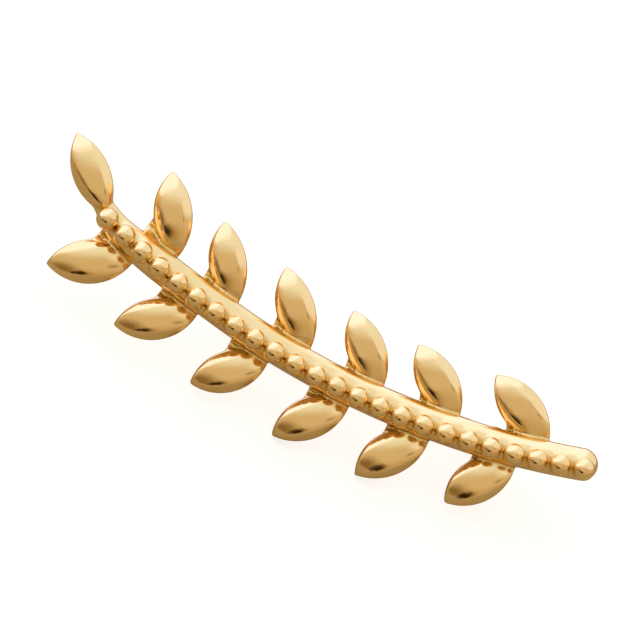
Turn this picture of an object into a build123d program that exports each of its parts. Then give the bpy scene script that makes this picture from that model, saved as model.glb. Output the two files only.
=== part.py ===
from build123d import *
import os
from math import asin, atan2, cos, degrees, hypot, radians, sin

# Ear climber: a cast leafy sprig with a row of beads along its stem, and a plain wire behind it
# that goes through the lobe. Millimetres.
# The sprig is laid out flat first: X and Y span its front plane, +Z faces the viewer, its flat back
# is Z = 0, and the centre of the stem's curve is the origin. Then it is turned to its resting pose.
# Stations are measured along the stem's middle line, from the first bead towards the tail.

# Stem: an oval bar, cut off at the flat back, that runs low and narrow into the top leaf.
STEM_RADIUS = 35.16
FIRST_BEAD_ANGLE = 224.4
STEM_HALF_WIDTH = 0.67
STEM_HALF_HEIGHT = 0.62
STEM_BACK_CUT = 0.12

# Where the stem's section is set: station, shift to the outer side, half width, half height.
STEM_TOP_SECTIONS = [
    (-0.9, -0.12, 0.40, 0.34),
    (0.4, 0.16, 0.56, 0.46),
    (1.7, 0.15, 0.65, 0.58),
    (3.0, 0.09, 0.68, STEM_HALF_HEIGHT),
    (4.3, 0.03, STEM_HALF_WIDTH, STEM_HALF_HEIGHT),
    (5.6, 0.00, STEM_HALF_WIDTH, STEM_HALF_HEIGHT),
]
TAIL_STATION = 21.8

# Beads: round, side by side in a groove near the stem's outer side.
BEAD_COUNT = 24
BEAD_PITCH = 0.952
BEAD_RADIUS = 0.463
BEAD_MIDDLE_HEIGHT = 0.98
BEAD_ROW_SHIFT = 0.25
BEAD_CLEARANCE = 0.02

# Leaves: domed blades whose long edges are arcs. The lead edge is the one nearer the sprig's top,
# the trail edge the one nearer its tail. The crown's crest lies from mid-width towards the trail edge.
ROOT_RISE = 0.62
LEAF_HEIGHT = 0.85
CROWN_ALONG_RADIUS = 3.2
CROWN_ACROSS_RADIUS = 1.3
CREST_SHIFT = 0.18
RIM_ROUND = 0.15
INNER, OUTER = 1, -1

# Side of the stem's curve, station, rise, lean from the stem, length, lead bulge, trail bulge.
LEAVES = {
    "top": (INNER, -0.09, -0.06, 23.4, 3.59, 0.81, 0.72),
    "inner_1": (INNER, 3.14, ROOT_RISE, 45.9, 3.49, 0.88, 0.70),
    "inner_2": (INNER, 6.25, ROOT_RISE, 46.2, 3.38, 0.93, 0.61),
    "inner_3": (INNER, 9.77, ROOT_RISE, 44.6, 3.50, 0.90, 0.68),
    "inner_4": (INNER, 13.15, ROOT_RISE, 45.0, 3.33, 0.90, 0.68),
    "inner_5": (INNER, 16.51, ROOT_RISE, 42.1, 3.37, 0.90, 0.75),
    "inner_6": (INNER, 20.33, ROOT_RISE, 39.4, 3.46, 0.88, 0.80),
    "outer_1": (OUTER, 1.91, ROOT_RISE, 44.4, 3.60, 0.90, 0.90),
    "outer_2": (OUTER, 5.19, ROOT_RISE, 44.6, 3.47, 0.84, 0.86),
    "outer_3": (OUTER, 8.56, ROOT_RISE, 47.1, 3.31, 0.86, 0.81),
    "outer_4": (OUTER, 12.22, ROOT_RISE, 46.5, 3.38, 0.93, 0.75),
    "outer_5": (OUTER, 15.66, ROOT_RISE, 45.4, 3.35, 1.02, 0.72),
    "outer_6": (OUTER, 19.24, ROOT_RISE, 41.3, 3.25, 1.02, 0.72),
}

# Webs: the low metal that fills the corner between a leaf's lead edge and the stem.
WEB_HEIGHT = 0.45
WEB_REACH = 1.75
WEB_FOOT_RISE = 0.30
WEB_EDGE_INSET = 0.06

# Ear wire: a foot that stands on a pad on the stem's back, one bend, and a straight run behind the stem.
PAD_RADIUS = 0.60
PAD_HEIGHT = 0.15
WIRE_RADIUS = 0.40
LOBE_GAP = 3.0
WIRE_BEND_RADIUS = 1.2
WIRE_FOOT_STATION = 18.1
WIRE_FOOT_RISE = 0.10
WIRE_RUN = 10.6

# At rest the climber leans back on the tips of two outer leaves and on the wire's straight run.
RESTING_LEAVES = ("outer_4", "outer_5")

# Larger than the whole piece, for cutting it off at its flat back.
ROOM = 60


def stem_angle(station):
    return FIRST_BEAD_ANGLE + degrees(station / STEM_RADIUS)


def stem_point(station, rise=0.0, height=0.0):
    # Rise is the distance towards the inner side of the stem's curve.
    angle = radians(stem_angle(station))
    reach = STEM_RADIUS - rise
    return Vector(reach * cos(angle), reach * sin(angle), height)


def stem_section(station, shift, half_width, half_height):
    angle = radians(stem_angle(station))
    across = Vector(cos(angle), sin(angle), 0)
    along = Vector(-sin(angle), cos(angle), 0)
    middle = stem_point(station, -shift, half_height - STEM_BACK_CUT)
    return Plane(origin=middle, x_dir=across, z_dir=along) * Ellipse(half_width, half_height)


def stem_end(station, shift, half_width, half_height, side):
    # Half of the section, turned half round the upright line through its middle.
    angle = radians(stem_angle(station))
    middle = stem_point(station, -shift, half_height - STEM_BACK_CUT)
    beside = middle + Vector(cos(angle), sin(angle), 0) * (side * half_width)
    cutter = Pos(beside) * Rot(0, 0, degrees(angle)) * Box(2 * half_width, half_width, 4 * half_height)
    half = stem_section(station, shift, half_width, half_height) & cutter
    return revolve(half, Axis(middle, (0, 0, 1)), 180)


def stem_bar():
    first, last = STEM_TOP_SECTIONS[0], STEM_TOP_SECTIONS[-1]
    tail = (TAIL_STATION, 0, STEM_HALF_WIDTH, STEM_HALF_HEIGHT)
    narrowing = loft([stem_section(*row) for row in STEM_TOP_SECTIONS])
    even = revolve(stem_section(*last), Axis.Z, stem_angle(TAIL_STATION) - stem_angle(last[0]))
    return narrowing + [even, stem_end(*first, -1), stem_end(*tail, 1)]


def bead_point(number):
    return stem_point(number * BEAD_PITCH, -BEAD_ROW_SHIFT, BEAD_MIDDLE_HEIGHT)


def bead_groove():
    radius = BEAD_RADIUS + BEAD_CLEARANCE
    last = BEAD_COUNT - 1
    ring = Plane.XZ * (Pos(STEM_RADIUS + BEAD_ROW_SHIFT, BEAD_MIDDLE_HEIGHT) * Circle(radius))
    groove = revolve(ring, Axis.Z, degrees(last * BEAD_PITCH / STEM_RADIUS))
    groove = Rot(0, 0, FIRST_BEAD_ANGLE) * groove
    groove += Pos(bead_point(0)) * Sphere(radius)
    groove += Pos(bead_point(last)) * Sphere(radius)
    return groove


def leaf_angle(side, station, lean):
    return stem_angle(station) - 90 - side * lean


def leaf_point(row, along, across, height=0.0):
    # A point by its distance along the leaf from its root, and towards its lead edge.
    side, station, rise, lean, length, lead_bulge, trail_bulge = row
    angle = radians(leaf_angle(side, station, lean))
    axis = Vector(cos(angle), sin(angle), 0)
    lead = Vector(-sin(angle), cos(angle), 0) * side
    return stem_point(station, side * rise, height) + axis * along + lead * across


def edge_ball(length, bulge, lead):
    # The ball whose rim runs through the leaf's root and tip and bulges out between them.
    half = length / 2
    radius = (half ** 2 + bulge ** 2) / (2 * bulge)
    return Pos(half, lead * (bulge - radius), 0) * Sphere(radius)


def leaf_crown(length, crest):
    # A barrel lying across the leaf, curved along the leaf and more tightly across it.
    waist = CROWN_ALONG_RADIUS - CROWN_ACROSS_RADIUS
    width = 2 * CROWN_ACROSS_RADIUS
    disc = Pos(0, waist) * Circle(CROWN_ACROSS_RADIUS)
    core = Pos(0, waist / 2) * Rectangle(width, waist)
    above_axis = Pos(0, CROWN_ALONG_RADIUS) * Rectangle(width, 2 * CROWN_ALONG_RADIUS)
    barrel = revolve(Plane.YZ * ((disc + core) & above_axis), Axis.Y, 360)
    return Pos(length / 2, crest, LEAF_HEIGHT - CROWN_ALONG_RADIUS) * barrel


def leaf(row):
    side, station, rise, lean, length, lead_bulge, trail_bulge = row
    blade = edge_ball(length, lead_bulge, side) & edge_ball(length, trail_bulge, -side)
    blade &= leaf_crown(length, side * ((lead_bulge - trail_bulge) / 2 - CREST_SHIFT))
    blade &= Pos(0, 0, ROOM / 2) * Box(ROOM, ROOM, ROOM)
    rim = blade.edges().sort_by(lambda edge: edge.position_at(0.5).Z)[-2:]
    blade = fillet(rim, RIM_ROUND)
    return Pos(leaf_point(row, 0, 0)) * Rot(0, 0, leaf_angle(side, station, lean)) * blade


def web(row):
    side, station, rise, lean, length, lead_bulge, trail_bulge = row
    corners = [
        leaf_point(row, length / 2, 0),
        leaf_point(row, length / 2, lead_bulge - WEB_EDGE_INSET),
        stem_point(station - WEB_REACH, side * WEB_FOOT_RISE),
        stem_point(station, side * WEB_FOOT_RISE),
    ]
    return extrude(make_face(Polyline(*corners, close=True)), WEB_HEIGHT, dir=(0, 0, 1))


def wire_pad():
    foot = stem_point(WIRE_FOOT_STATION, WIRE_FOOT_RISE, -PAD_HEIGHT)
    return extrude(Pos(foot) * Circle(PAD_RADIUS), PAD_HEIGHT + WEB_HEIGHT)


def sprig():
    leaves = [leaf(row) for row in LEAVES.values()]
    webs = [web(row) for name, row in LEAVES.items() if name != "top"]
    metal = stem_bar() + (leaves + webs) - bead_groove()
    metal &= Pos(0, 0, ROOM / 2) * Box(2 * ROOM, 2 * ROOM, ROOM)
    return metal + wire_pad()


def bead(number):
    return Pos(bead_point(number)) * Sphere(BEAD_RADIUS)


def resting_line():
    # From the one resting leaf's tip to the other's, in the plane of the flat back.
    first, second = [leaf_point(LEAVES[name], LEAVES[name][4], 0) for name in RESTING_LEAVES]
    return first, (second - first).normalized()


def ear_wire():
    along = resting_line()[1]
    depth = LOBE_GAP + WIRE_RADIUS
    foot = stem_point(WIRE_FOOT_STATION, WIRE_FOOT_RISE, -PAD_HEIGHT)
    bend_start = stem_point(WIRE_FOOT_STATION, WIRE_FOOT_RISE, WIRE_BEND_RADIUS - depth)
    bend_end = stem_point(WIRE_FOOT_STATION, WIRE_FOOT_RISE, -depth) - along * WIRE_BEND_RADIUS
    stub = Line(foot, bend_start)
    bend = TangentArc(bend_start, bend_end, tangent=(0, 0, -1))
    run = Line(bend_end, bend_end - along * WIRE_RUN)
    wire = sweep(Plane(origin=foot, z_dir=(0, 0, -1)) * Circle(WIRE_RADIUS), path=stub + bend + run)
    return wire + Pos(run @ 1) * Sphere(WIRE_RADIUS)


def resting_pose(part):
    # The resting line is turned along +X, and the front is tilted back until the wire is down too.
    tip, along = resting_line()
    foot = stem_point(WIRE_FOOT_STATION, WIRE_FOOT_RISE)
    inward = Vector(-along.Y, along.X, 0)
    wire_reach = (foot - tip).dot(inward)
    wire_depth = LOBE_GAP + WIRE_RADIUS
    tilt = atan2(wire_depth, wire_reach) + asin(WIRE_RADIUS / hypot(wire_depth, wire_reach))
    turn = Rot(0, 0, -degrees(atan2(along.Y, along.X)))
    return Rot(degrees(tilt), 0, 0) * turn * Pos(-tip) * part


def main():
    nodes = {"sprig": sprig(), "ear_wire": ear_wire()}
    for number in range(BEAD_COUNT):
        nodes[f"bead_{number + 1:02d}"] = bead(number)
    posed = {name: resting_pose(part) for name, part in nodes.items()}
    box = Compound(list(posed.values())).bounding_box()
    centre = Pos(-box.center().X, -box.center().Y, 0)
    os.makedirs("parts", exist_ok=True)
    for name, part in posed.items():
        export_step((centre * part).solid(), f"parts/{name}.step")


main()
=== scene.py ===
import bmesh
import bpy
from collections import namedtuple
from math import asin, atan2, cos, hypot, pi, radians, sin, sqrt, tan
from mathutils import Matrix, Vector


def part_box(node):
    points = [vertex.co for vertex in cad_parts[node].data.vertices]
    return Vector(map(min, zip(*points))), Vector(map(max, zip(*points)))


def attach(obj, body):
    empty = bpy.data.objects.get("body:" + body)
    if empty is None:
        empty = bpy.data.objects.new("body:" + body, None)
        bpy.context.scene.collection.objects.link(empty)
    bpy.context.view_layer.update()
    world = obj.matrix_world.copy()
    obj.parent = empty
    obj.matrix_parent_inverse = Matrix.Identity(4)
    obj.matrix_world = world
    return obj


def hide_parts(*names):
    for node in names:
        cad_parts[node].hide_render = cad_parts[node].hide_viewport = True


# Looks of a gold ear climber: a cast leafy sprig, the beads along its stem and the wire behind it.
# Shapes are worked out in millimetres in the sprig's own flat layout and then put in the frame:
# X and Y span the sprig's front plane, +Z faces the viewer, its flat back is Z = 0, and the centre
# of the stem's curve is the origin. Stations run along the stem, from the first bead to the tail,
# and rise is the distance from the stem's middle line towards the inner side of its curve.
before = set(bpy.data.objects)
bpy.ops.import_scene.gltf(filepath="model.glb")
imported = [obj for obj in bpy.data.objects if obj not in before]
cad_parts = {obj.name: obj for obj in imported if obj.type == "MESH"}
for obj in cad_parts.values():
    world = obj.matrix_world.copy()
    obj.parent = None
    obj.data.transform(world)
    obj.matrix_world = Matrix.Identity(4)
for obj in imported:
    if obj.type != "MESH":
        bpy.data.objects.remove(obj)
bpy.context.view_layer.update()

MM = 0.001
ROOT_BODY = "root"
INNER, OUTER = 1, -1
ROUND_COUNT = 40
END_ANGLES = range(8, 89, 8)

# Stem
STEM_RADIUS = 35.16
FIRST_BEAD_ANGLE = 224.4
STEM_HALF_WIDTH = 0.67
STEM_HALF_HEIGHT = 0.62
STEM_BACK_CUT = 0.12
STEM_LEAST_HEIGHT = 0.02
TAIL_STATION = 21.8
STEM_STEP = 0.034
STEM_ACROSS = 60

# Where the stem's section is set: station, shift to the outer side, half width, half height.
STEM_TOP_SECTIONS = [
    (-0.9, -0.12, 0.38, 0.30),
    (0.4, 0.16, 0.56, 0.46),
    (1.7, 0.15, 0.65, 0.58),
    (3.0, 0.09, 0.68, STEM_HALF_HEIGHT),
    (4.3, 0.03, STEM_HALF_WIDTH, STEM_HALF_HEIGHT),
    (5.6, 0.00, STEM_HALF_WIDTH, STEM_HALF_HEIGHT),
]

# Beads. Here they sit a nudge nearer the stem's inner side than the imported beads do.
BEAD_COUNT = 24
BEAD_PITCH = 0.952
BEAD_RADIUS = 0.463
BEAD_MIDDLE_HEIGHT = 0.98
BEAD_ROW_SHIFT = 0.25
BEAD_NUDGE = 0.06
BEAD_SEGMENTS = 48
BEAD_RINGS = 24

# The collar of metal that rises from the stem round each bead
COLLAR_RADIUS = 0.455
COLLAR_WIDTH = 0.13
COLLAR_HEIGHT = 0.03

# Leaves
ROOT_RISE = 0.62
LEAF_HEIGHT = 0.85
CREST_SHIFT = 0.10
RIM_HEIGHT = 0.47
BEVEL_SLOPE = radians(50)
RIDGE_SOFTNESS = 0.14
LEAF_HALF_SPAN = 0.499
LEAF_ALONG = 56
LEAF_ACROSS = 30

# A crown: its radius along the leaf, and where its top lies, as a share of the leaf's length.
SIDE_CROWN = (2.8, 0.50)
TOP_CROWN = (4.0, 0.40)
CROWN_ACROSS_RADII = {INNER: 2.75, OUTER: 1.75}

# Lean is the angle from the stem in degrees. Bulges are the leaf's greatest half widths, on the
# lead edge, which faces the top leaf, and on the trail edge.
Leaf = namedtuple("Leaf", "side station rise lean length lead_bulge trail_bulge")
LEAVES = {
    "top": Leaf(INNER, -0.09, -0.06, 23.4, 3.59, 0.81, 0.72),
    "inner_1": Leaf(INNER, 3.14, ROOT_RISE, 45.9, 3.49, 0.88, 0.70),
    "inner_2": Leaf(INNER, 6.25, ROOT_RISE, 46.2, 3.38, 0.93, 0.61),
    "inner_3": Leaf(INNER, 9.77, ROOT_RISE, 44.6, 3.50, 0.90, 0.68),
    "inner_4": Leaf(INNER, 13.15, ROOT_RISE, 45.0, 3.33, 0.90, 0.68),
    "inner_5": Leaf(INNER, 16.51, ROOT_RISE, 42.1, 3.37, 0.90, 0.75),
    "inner_6": Leaf(INNER, 20.33, ROOT_RISE, 39.4, 3.46, 0.88, 0.80),
    "outer_1": Leaf(OUTER, 1.91, ROOT_RISE, 44.4, 3.60, 0.90, 0.90),
    "outer_2": Leaf(OUTER, 5.19, ROOT_RISE, 44.6, 3.47, 0.84, 0.86),
    "outer_3": Leaf(OUTER, 8.56, ROOT_RISE, 47.1, 3.31, 0.86, 0.81),
    "outer_4": Leaf(OUTER, 12.22, ROOT_RISE, 46.5, 3.38, 0.93, 0.75),
    "outer_5": Leaf(OUTER, 15.66, ROOT_RISE, 45.4, 3.35, 1.02, 0.72),
    "outer_6": Leaf(OUTER, 19.24, ROOT_RISE, 41.3, 3.25, 1.02, 0.72),
}

# Webs between leaf and stem: a hollow strip, lowest along its middle
WEB_REACH = 1.75
WEB_FOOT_RISE = 0.30
WEB_EDGE_INSET = 0.06
WEB_LEAF_HEIGHT = 0.50
WEB_STEM_HEIGHT = 0.70
WEB_MIDDLE_HEIGHT = 0.22
WEB_HOLLOW = 1.6
WEB_STEPS = 14

# Ear wire. Its run bows a little, and the climber rests on it and on the tips of two leaves.
PAD_RADIUS = 0.60
PAD_HEIGHT = 0.15
WIRE_RADIUS = 0.40
LOBE_GAP = 3.0
WIRE_BEND_RADIUS = 1.2
WIRE_BEND_STEPS = 24
WIRE_FOOT_STATION = 18.1
WIRE_FOOT_RISE = 0.10
WIRE_FOOT_LENGTH = 0.9
WIRE_RUN = 10.6
WIRE_BOW = 0.48
WIRE_RUN_STEPS = 24
RESTING_LEAVES = ("outer_4", "outer_5")

# Fusing the casting's pieces into one skin
SKIN_VOXEL = 0.058
SKIN_SMOOTHING = 8
SKIN_SMOOTHING_FACTOR = 0.5

# Gold: its two tones, and the painted shade whose tones multiply them in the recesses of the casting
# and of the beads. A place counts as a recess by how much of the space within a reach in metres is
# open.
GOLD = (1.0, 0.675, 0.265)
DEEP_GOLD = (0.97, 0.64, 0.235)
CAST_RECESS_SHADE = (0.58, 0.58, 0.36)
BEAD_RECESS_SHADE = (0.74, 0.68, 0.40)
RECESS_REACH = 0.0005
RECESS_OPEN = 0.88
RECESS_DEEP = 0.30
TONE_SPAN = (0.35, 0.65)
POLISH_SPAN = (0.3, 0.7)
POLISH_FINENESS = 4
BUMP_FINENESS = 2.5
BUMP_STRENGTH = 0.40
BUMP_DISTANCE = 0.00001

# Floor: a pale disc just under the climber. The camera alone sees its glow.
FLOOR_RADIUS = 0.5
FLOOR_DROP = 0.00002
FLOOR_SIDES = 96
FLOOR_TONES = ((0.425, 0.345, 0.18), (0.455, 0.37, 0.20))
FLOOR_GRAIN = 400.0
FLOOR_ROUGHNESS = 0.9
FLOOR_GLOSS = 0.1
FLOOR_GLOW = 0.75

# Zones of the soft light round the climber. Each is an oval region of directions, by their parts
# towards the picture's right, its top and the viewer: middle, half sizes, softness of edge, colour.
BASE_LIGHT = (0.67, 0.61, 0.55)
BACKDROP = (1.0, 1.0, 1.0)
LIGHT_ZONES = [
    ("low", (0.0, -1.40, 0.0), (2.00, 1.10, 3.0), 0.20, (0.56, 0.47, 0.37)),
    ("glow", (0.30, 1.38, 0.0), (1.80, 1.06, 3.0), 0.22, (0.90, 1.07, 1.48)),
    ("right_side", (1.10, 0.30, 0.3), (0.60, 0.30, 2.0), 0.30, (0.92, 1.00, 1.35)),
    ("overhead", (-0.50, 1.30, -0.25), (1.15, 0.95, 1.45), 0.09, (1.35, 1.42, 2.45)),
    ("left_side", (-1.00, -0.32, 0.3), (0.62, 0.45, 2.0), 0.35, (0.23, 0.155, 0.07)),
    ("left_low", (-0.37, -0.56, 0.6), (0.41, 0.29, 1.2), 0.42, (0.36, 0.255, 0.10)),
    ("left_card", (-0.38, -0.49, 0.75), (0.26, 0.19, 1.0), 0.30, (0.02, 0.007, 0.003)),
    ("right_card", (0.60, -0.12, 0.70), (0.13, 0.08, 1.0), 0.40, (0.38, 0.30, 0.20)),
    ("behind", (0.0, 0.0, -1.25), (3.0, 3.0, 0.48), 0.12, (0.78, 0.76, 0.76)),
]

# Camera: what the photograph's frame holds across, and the point it looks at, in the flat layout.
FRAME_WIDTH = 25.8
AIM = (-16.7, -28.8, 0.5)
CAMERA_DISTANCE = 0.45
SENSOR = 36.0
CLIP_START = 0.01
CLIP_END = 5.0


# Places in the flat layout, and the pose that puts them in the frame


def stem_angle(station):
    return radians(FIRST_BEAD_ANGLE) + station / STEM_RADIUS


def stem_place(station, rise=0.0, height=0.0):
    angle = stem_angle(station)
    reach = STEM_RADIUS - rise
    return Vector((reach * cos(angle), reach * sin(angle), height))


def bead_place(number, nudge=0.0):
    return stem_place(number * BEAD_PITCH, nudge - BEAD_ROW_SHIFT, BEAD_MIDDLE_HEIGHT)


def leaf_place(leaf, along, across, height=0.0):
    # A point by its distance along the leaf from its root, and towards its lead edge.
    angle = stem_angle(leaf.station) - pi / 2 - leaf.side * radians(leaf.lean)
    axis = Vector((cos(angle), sin(angle), 0))
    lead = Vector((-sin(angle), cos(angle), 0)) * leaf.side
    return stem_place(leaf.station, leaf.side * leaf.rise, height) + axis * along + lead * across


def resting_tips():
    return [leaf_place(LEAVES[name], LEAVES[name].length, 0) for name in RESTING_LEAVES]


def resting_pose():
    # From the flat layout in millimetres to the frame in metres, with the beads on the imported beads.
    first, second = resting_tips()
    along = (second - first).normalized()
    foot = stem_place(WIRE_FOOT_STATION, WIRE_FOOT_RISE)
    reach = (foot - first).dot(Vector((-along.y, along.x, 0)))
    depth = LOBE_GAP + WIRE_RADIUS
    tilt = atan2(depth, reach) + asin(WIRE_RADIUS / hypot(depth, reach))
    turn = Matrix.Rotation(-atan2(along.y, along.x), 4, "Z")
    turned = Matrix.Rotation(tilt, 4, "X") @ turn
    offset = Vector((0, 0, 0))
    for number in range(BEAD_COUNT):
        low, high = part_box(f"bead_{number + 1:02d}")
        packed = (Vector(low) + Vector(high)) / (2 * MM)
        offset += (packed - turned @ bead_place(number)) / BEAD_COUNT
    return Matrix.Scale(MM, 4) @ Matrix.Translation(offset) @ turned


POSE = resting_pose()
RIGHT, UP, FRONT = [column.normalized() for column in POSE.to_3x3().transposed()]


# Meshes


def round_loop(centre, across, beside, radius):
    turns = [2 * pi * i / ROUND_COUNT for i in range(ROUND_COUNT)]
    return [centre + (across * cos(turn) + beside * sin(turn)) * radius for turn in turns]


def add_shell(mesh, loops):
    # A closed skin through loops of points, all of one count, with a face over each end.
    rings = [[mesh.verts.new(point) for point in loop] for loop in loops]
    count = len(rings[0])
    for ring, following in zip(rings, rings[1:]):
        for i in range(count):
            j = (i + 1) % count
            mesh.faces.new((ring[i], ring[j], following[j], following[i]))
    mesh.faces.new(list(reversed(rings[0])))
    mesh.faces.new(rings[-1])


def new_piece(name, mesh, material, slot, *nodes):
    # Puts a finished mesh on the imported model's body, in the place of its nodes.
    bmesh.ops.recalc_face_normals(mesh, faces=mesh.faces[:])
    mesh.transform(POSE)
    data = bpy.data.meshes.new(name)
    mesh.to_mesh(data)
    mesh.free()
    data.shade_smooth()
    data.materials.append(material)
    piece = bpy.data.objects.new(name, data)
    bpy.context.collection.objects.link(piece)
    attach(piece, ROOT_BODY)
    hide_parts(*nodes)


# Stem


def stem_row(station):
    # Shift, half width and half height at a station, on a smooth curve through the set sections.
    rows = STEM_TOP_SECTIONS
    last = len(rows) - 1
    gap = rows[1][0] - rows[0][0]
    place = min(max((station - rows[0][0]) / gap, 0.0), float(last))
    step = min(int(place), last - 1)
    part = place - step
    near = [rows[min(max(step + i, 0), last)][1:] for i in (-1, 0, 1, 2)]
    values = []
    for a, b, c, d in zip(*near):
        bend = (2 * a - 5 * b + 4 * c - d) * part ** 2 + (3 * b - a - 3 * c + d) * part ** 3
        values.append(b + ((c - a) * part + bend) / 2)
    return values


def stem_loop(station, taper):
    # Across the front from side to side, and back along the flat back. Taper rounds the two ends.
    shift, half_width, half_height = stem_row(station)
    middle = half_height - STEM_BACK_CUT
    half_width *= taper
    half_height *= taper
    nearest = min(max(round(station / BEAD_PITCH), 0), BEAD_COUNT - 1)
    front = []
    back = []
    for i in range(STEM_ACROSS + 1):
        turn = pi * i / STEM_ACROSS
        outward = shift - half_width * cos(turn)
        top = middle + half_height * sin(turn)
        from_row = outward - BEAD_ROW_SHIFT + BEAD_NUDGE
        from_bead = hypot(station - nearest * BEAD_PITCH, from_row)
        rise = 1 - max(from_bead - COLLAR_RADIUS, 0) / COLLAR_WIDTH
        top += COLLAR_HEIGHT * taper * max(rise, 0) ** 2
        front.append(stem_place(station, -outward, max(top, STEM_LEAST_HEIGHT)))
        if 0 < i < STEM_ACROSS:
            bottom = max(middle - half_height * sin(turn), 0)
            back.append(stem_place(station, -outward, bottom))
    return front + back[::-1]


def add_stem(mesh):
    head, _, head_half_width, _ = STEM_TOP_SECTIONS[0]
    length = TAIL_STATION - head
    steps = round(length / STEM_STEP)
    ends = [sin(radians(angle)) for angle in END_ANGLES]
    loops = [stem_loop(head - head_half_width * end, sqrt(1 - end * end)) for end in ends[::-1]]
    loops += [stem_loop(head + length * i / steps, 1) for i in range(steps + 1)]
    loops += [stem_loop(TAIL_STATION + STEM_HALF_WIDTH * end, sqrt(1 - end * end)) for end in ends]
    add_shell(mesh, loops)


# Leaves and webs


def smooth_min(a, b, softness):
    overlap = max(softness - abs(a - b), 0.0) / softness
    return min(a, b) - overlap * overlap * softness / 4


def leaf_edge(length, bulge, along):
    # Distance from the leaf's axis to an edge that is an arc from root to tip.
    half = length / 2
    radius = (half ** 2 + bulge ** 2) / (2 * bulge)
    return sqrt(max(radius ** 2 - (along - half) ** 2, 0)) - (radius - bulge)


def leaf_height(leaf, along, across):
    # The lowest of the crown and of the bevels inside each edge, with the ridges between them rounded.
    along_radius, top_share = TOP_CROWN if leaf is LEAVES["top"] else SIDE_CROWN
    across_radius = CROWN_ACROSS_RADII[leaf.side]
    crest = (leaf.lead_bulge - leaf.trail_bulge) / 2 - CREST_SHIFT
    reach = along_radius - across_radius + sqrt(across_radius ** 2 - (across - crest) ** 2)
    from_top = along - leaf.length * top_share
    crown = LEAF_HEIGHT - along_radius + sqrt(reach ** 2 - from_top ** 2)
    from_trail = across + leaf_edge(leaf.length, leaf.trail_bulge, along)
    from_lead = leaf_edge(leaf.length, leaf.lead_bulge, along) - across
    trail_bevel = RIM_HEIGHT + from_trail * tan(BEVEL_SLOPE)
    lead_bevel = RIM_HEIGHT + from_lead * tan(BEVEL_SLOPE)
    return smooth_min(smooth_min(crown, trail_bevel, RIDGE_SOFTNESS), lead_bevel, RIDGE_SOFTNESS)


def add_leaf(mesh, leaf):
    loops = []
    for i in range(LEAF_ALONG + 1):
        along = leaf.length * (0.5 - LEAF_HALF_SPAN * cos(pi * i / LEAF_ALONG))
        trail = -leaf_edge(leaf.length, leaf.trail_bulge, along)
        lead = leaf_edge(leaf.length, leaf.lead_bulge, along)
        front = []
        for j in range(LEAF_ACROSS + 1):
            across = trail + (lead - trail) * (0.5 - 0.5 * cos(pi * j / LEAF_ACROSS))
            front.append(leaf_place(leaf, along, across, leaf_height(leaf, along, across)))
        loops.append(front + [leaf_place(leaf, along, lead), leaf_place(leaf, along, trail)])
    add_shell(mesh, loops)


def add_web(mesh, leaf):
    leaf_inner = leaf_place(leaf, leaf.length / 2, 0)
    leaf_outer = leaf_place(leaf, leaf.length / 2, leaf.lead_bulge - WEB_EDGE_INSET)
    stem_inner = stem_place(leaf.station, leaf.side * WEB_FOOT_RISE)
    stem_outer = stem_place(leaf.station - WEB_REACH, leaf.side * WEB_FOOT_RISE)
    loops = []
    for i in range(WEB_STEPS + 1):
        part = i / WEB_STEPS
        edge = WEB_LEAF_HEIGHT if part < 0.5 else WEB_STEM_HEIGHT
        from_middle = abs(2 * part - 1)
        height = WEB_MIDDLE_HEIGHT + (edge - WEB_MIDDLE_HEIGHT) * from_middle ** WEB_HOLLOW
        inner = leaf_inner.lerp(stem_inner, part)
        outer = leaf_outer.lerp(stem_outer, part)
        front = Vector((0, 0, height))
        loops.append([inner, outer, outer + front, inner + front])
    add_shell(mesh, loops)


# The three kinds of piece


def add_pad(mesh):
    x = Vector((1, 0, 0))
    y = Vector((0, 1, 0))
    heights = (-PAD_HEIGHT, STEM_HALF_HEIGHT)
    centres = [stem_place(WIRE_FOOT_STATION, WIRE_FOOT_RISE, height) for height in heights]
    add_shell(mesh, [round_loop(centre, x, y, PAD_RADIUS) for centre in centres])


def sprig(gold):
    # The casting: its parts overlap, are fused into one skin and smoothed where they meet.
    parts = bmesh.new()
    add_stem(parts)
    for name, leaf in LEAVES.items():
        add_leaf(parts, leaf)
        if name != "top":
            add_web(parts, leaf)
    add_pad(parts)
    bmesh.ops.recalc_face_normals(parts, faces=parts.faces[:])
    data = bpy.data.meshes.new("sprig_parts")
    parts.to_mesh(data)
    parts.free()
    holder = bpy.data.objects.new("sprig_parts", data)
    bpy.context.collection.objects.link(holder)
    fuse = holder.modifiers.new("fuse", "REMESH")
    fuse.mode = "VOXEL"
    fuse.voxel_size = SKIN_VOXEL
    polish = holder.modifiers.new("polish", "SMOOTH")
    polish.iterations = SKIN_SMOOTHING
    polish.factor = SKIN_SMOOTHING_FACTOR
    fused = holder.evaluated_get(bpy.context.evaluated_depsgraph_get()).to_mesh()
    skin = bmesh.new()
    skin.from_mesh(fused)
    bpy.data.objects.remove(holder)
    bpy.data.meshes.remove(data)
    new_piece("leafy_sprig", skin, gold, "gold", "sprig")


def bead(number, gold):
    mesh = bmesh.new()
    bmesh.ops.create_uvsphere(
        mesh,
        u_segments=BEAD_SEGMENTS,
        v_segments=BEAD_RINGS,
        radius=BEAD_RADIUS,
        matrix=Matrix.Translation(bead_place(number, BEAD_NUDGE)),
    )
    label = f"{number + 1:02d}"
    new_piece(f"round_bead_{label}", mesh, gold, "gold_beads", f"bead_{label}")


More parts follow.
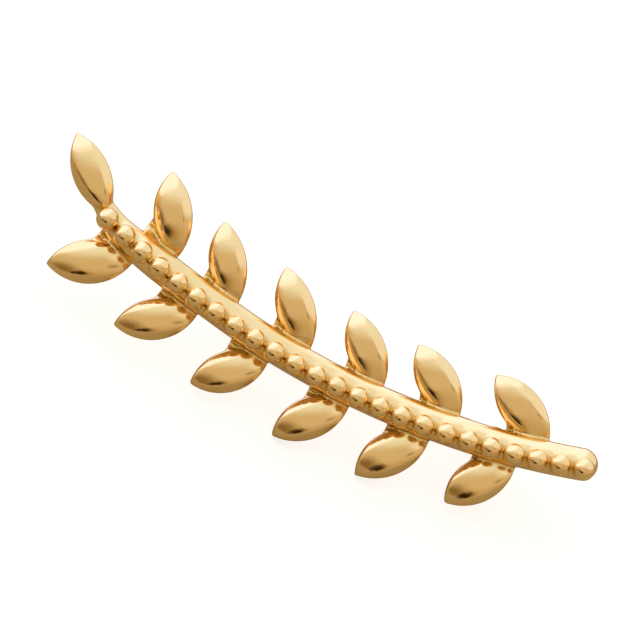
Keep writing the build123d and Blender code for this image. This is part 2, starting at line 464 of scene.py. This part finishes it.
def ear_wire(gold):
    # A foot behind the stem, a bend, and a run along the stem towards the top leaf.
    first, second = resting_tips()
    along = (first - second).normalized()
    upright = Vector((0, 0, 1))
    beside = along.cross(upright)
    bend_height = WIRE_BEND_RADIUS - (LOBE_GAP + WIRE_RADIUS)
    heights = (-PAD_HEIGHT, -PAD_HEIGHT - WIRE_FOOT_LENGTH, bend_height)
    foot = [stem_place(WIRE_FOOT_STATION, WIRE_FOOT_RISE, height) for height in heights]
    loops = [round_loop(centre, along, beside, WIRE_RADIUS) for centre in foot]
    hub = foot[-1] + along * WIRE_BEND_RADIUS
    for i in range(1, WIRE_BEND_STEPS):
        turn = pi / 2 * i / WIRE_BEND_STEPS
        across = along * cos(turn) + upright * sin(turn)
        loops.append(round_loop(hub - across * WIRE_BEND_RADIUS, across, beside, WIRE_RADIUS))
    # The run lies level and bows a little with the stem's curve, so that the stem covers it.
    sky = (POSE.to_3x3().transposed() @ upright).normalized()
    level = along.cross(sky).normalized()
    bow = level * (WIRE_BOW if level.z > 0 else -WIRE_BOW)
    start = hub - upright * WIRE_BEND_RADIUS
    for i in range(WIRE_RUN_STEPS + 1):
        part = i / WIRE_RUN_STEPS
        place = start + along * (WIRE_RUN * part) + bow * (4 * part * (1 - part))
        loops.append(round_loop(place, upright, beside, WIRE_RADIUS))
    for angle in END_ANGLES:
        turn = radians(angle)
        place = start + along * (WIRE_RUN + WIRE_RADIUS * sin(turn))
        loops.append(round_loop(place, upright, beside, WIRE_RADIUS * cos(turn)))
    mesh = bmesh.new()
    add_shell(mesh, loops)
    new_piece("plain_ear_wire", mesh, gold, "gold_wire", "ear_wire")


# Materials


def node(tree, kind, **values):
    # A new node. A value goes to the input of its name, or else to the node's own setting.
    made = tree.nodes.new(kind)
    for name, value in values.items():
        if name in made.inputs:
            made.inputs[name].default_value = value
        else:
            setattr(made, name, value)
    return made


def mixed(tree, share, below, above, blend="MIX"):
    # A colour socket laid over by a plain colour, by a share from 0 to 1.
    mix = node(tree, "ShaderNodeMixRGB", blend_type=blend)
    tree.links.new(share, mix.inputs["Fac"])
    tree.links.new(below, mix.inputs["Color1"])
    mix.inputs["Color2"].default_value = (*above, 1)
    return mix.outputs["Color"]


def remapped(tree, value, old_span, new_span=(0.0, 1.0), **settings):
    # A value socket moved from one span to another, and held within the new one.
    made = node(tree, "ShaderNodeMapRange", **settings)
    made.inputs["From Min"].default_value = old_span[0]
    made.inputs["From Max"].default_value = old_span[1]
    made.inputs["To Min"].default_value = new_span[0]
    made.inputs["To Max"].default_value = new_span[1]
    tree.links.new(value, made.inputs["Value"])
    return made.outputs["Result"]


def noise(tree, scale, detail):
    place = node(tree, "ShaderNodeTexCoord")
    made = node(tree, "ShaderNodeTexNoise", Scale=scale, Detail=detail)
    tree.links.new(place.outputs["Object"], made.inputs["Vector"])
    return made.outputs["Fac"]


def toned(tree, value, tones, span=(0.0, 1.0)):
    # A colour socket that goes from one tone to another while a value crosses a span.
    ramp = node(tree, "ShaderNodeValToRGB")
    for stop, position, tone in zip(ramp.color_ramp.elements, span, tones):
        stop.position = position
        stop.color = (*tone, 1)
    tree.links.new(value, ramp.inputs["Fac"])
    return ramp.outputs["Color"]


def gold_material(name, recess_shade_tone, grain, roughness_span):
    # Polished plated gold: a slow change of tone, a painted shade that deepens it in the recesses,
    # small differences of polish and a faint uneven skin.
    material = bpy.data.materials.new(name)
    material.use_nodes = True
    tree = material.node_tree
    tree.nodes.clear()
    join = tree.links.new
    shader = node(tree, "ShaderNodeBsdfPrincipled", Metallic=1.0)
    colour = toned(tree, noise(tree, grain, 3.0), (DEEP_GOLD, GOLD), TONE_SPAN)
    # Painted shade: the gold is darkened by how little of the space round each point is open.
    openness = node(tree, "ShaderNodeAmbientOcclusion", samples=8, Distance=RECESS_REACH)
    painted_shade = remapped(tree, openness.outputs["AO"], (RECESS_OPEN, RECESS_DEEP))
    join(mixed(tree, painted_shade, colour, recess_shade_tone, "MULTIPLY"), shader.inputs["Base Color"])
    polish = noise(tree, grain * POLISH_FINENESS, 4.0)
    join(remapped(tree, polish, POLISH_SPAN, roughness_span), shader.inputs["Roughness"])
    bump = node(tree, "ShaderNodeBump", Strength=BUMP_STRENGTH, Distance=BUMP_DISTANCE)
    join(noise(tree, grain * BUMP_FINENESS, 2.0), bump.inputs["Height"])
    join(bump.outputs["Normal"], shader.inputs["Normal"])
    output = node(tree, "ShaderNodeOutputMaterial")
    join(shader.outputs["BSDF"], output.inputs["Surface"])
    return material


def floor_material():
    material = bpy.data.materials.new("pale_floor")
    material.use_nodes = True
    tree = material.node_tree
    shader = tree.nodes["Principled BSDF"]
    tint = toned(tree, noise(tree, FLOOR_GRAIN, 3.0), FLOOR_TONES)
    tree.links.new(tint, shader.inputs["Base Color"])
    shader.inputs["Roughness"].default_value = FLOOR_ROUGHNESS
    shader.inputs["Specular IOR Level"].default_value = FLOOR_GLOSS
    shader.inputs["Emission Color"].default_value = (1, 1, 1, 1)
    seen = node(tree, "ShaderNodeLightPath")
    glow = node(tree, "ShaderNodeMath", operation="MULTIPLY")
    glow.inputs[1].default_value = FLOOR_GLOW
    tree.links.new(seen.outputs["Is Camera Ray"], glow.inputs[0])
    tree.links.new(glow.outputs["Value"], shader.inputs["Emission Strength"])
    return material


# Studio


def studio_light():
    # One world light, whose colour goes by direction. The camera sees the plain backdrop instead.
    world = bpy.data.worlds.new("studio")
    bpy.context.scene.world = world
    world.use_nodes = True
    tree = world.node_tree
    tree.nodes.clear()
    join = tree.links.new
    direction = node(tree, "ShaderNodeTexCoord").outputs["Generated"]
    parts = node(tree, "ShaderNodeCombineXYZ")
    for axis, socket in zip((RIGHT, UP, FRONT), parts.inputs):
        share = node(tree, "ShaderNodeVectorMath", operation="DOT_PRODUCT")
        join(direction, share.inputs[0])
        share.inputs[1].default_value = axis
        join(share.outputs["Value"], socket)
    light = node(tree, "ShaderNodeRGB")
    light.outputs["Color"].default_value = (*BASE_LIGHT, 1)
    colour = light.outputs["Color"]
    for name, middle, half_sizes, softness, zone_colour in LIGHT_ZONES:
        away = node(tree, "ShaderNodeVectorMath", operation="SUBTRACT")
        join(parts.outputs["Vector"], away.inputs[0])
        away.inputs[1].default_value = middle
        scaled = node(tree, "ShaderNodeVectorMath", operation="DIVIDE")
        join(away.outputs["Vector"], scaled.inputs[0])
        scaled.inputs[1].default_value = half_sizes
        reach = node(tree, "ShaderNodeVectorMath", operation="LENGTH")
        join(scaled.outputs["Vector"], reach.inputs[0])
        edge = (1 + softness, 1 - softness)
        inside = remapped(
            tree, reach.outputs["Value"], edge, interpolation_type="SMOOTHSTEP", label=name
        )
        colour = mixed(tree, inside, colour, zone_colour)
    seen = node(tree, "ShaderNodeLightPath")
    colour = mixed(tree, seen.outputs["Is Camera Ray"], colour, BACKDROP)
    sky = node(tree, "ShaderNodeBackground")
    join(colour, sky.inputs["Color"])
    output = node(tree, "ShaderNodeOutputWorld")
    join(sky.outputs["Background"], output.inputs["Surface"])


def floor():
    bpy.ops.mesh.primitive_circle_add(
        vertices=FLOOR_SIDES, radius=FLOOR_RADIUS, fill_type="NGON", location=(0, 0, -FLOOR_DROP)
    )
    made = bpy.context.object
    made.name = "floor"
    made.data.materials.append(floor_material())


def camera():
    data = bpy.data.cameras.new("photo_view")
    data.sensor_width = SENSOR
    data.lens = SENSOR * CAMERA_DISTANCE / (FRAME_WIDTH * MM)
    data.clip_start = CLIP_START
    data.clip_end = CLIP_END
    made = bpy.data.objects.new("photo_view", data)
    bpy.context.collection.objects.link(made)
    place = POSE @ Vector(AIM) + FRONT * CAMERA_DISTANCE
    turn = Matrix((RIGHT, UP, FRONT)).transposed().to_4x4()
    made.matrix_world = Matrix.Translation(place) @ turn
    bpy.context.scene.camera = made


camera()
studio_light()
floor()
sprig(gold_material("sprig_gold", CAST_RECESS_SHADE, 700.0, (0.10, 0.17)))
bead_gold = gold_material("bead_gold", BEAD_RECESS_SHADE, 900.0, (0.08, 0.14))
for bead_number in range(BEAD_COUNT):
    bead(bead_number, bead_gold)
ear_wire(gold_material("wire_gold", CAST_RECESS_SHADE, 500.0, (0.12, 0.20)))
bpy.context.scene.view_settings.view_transform = "Standard"
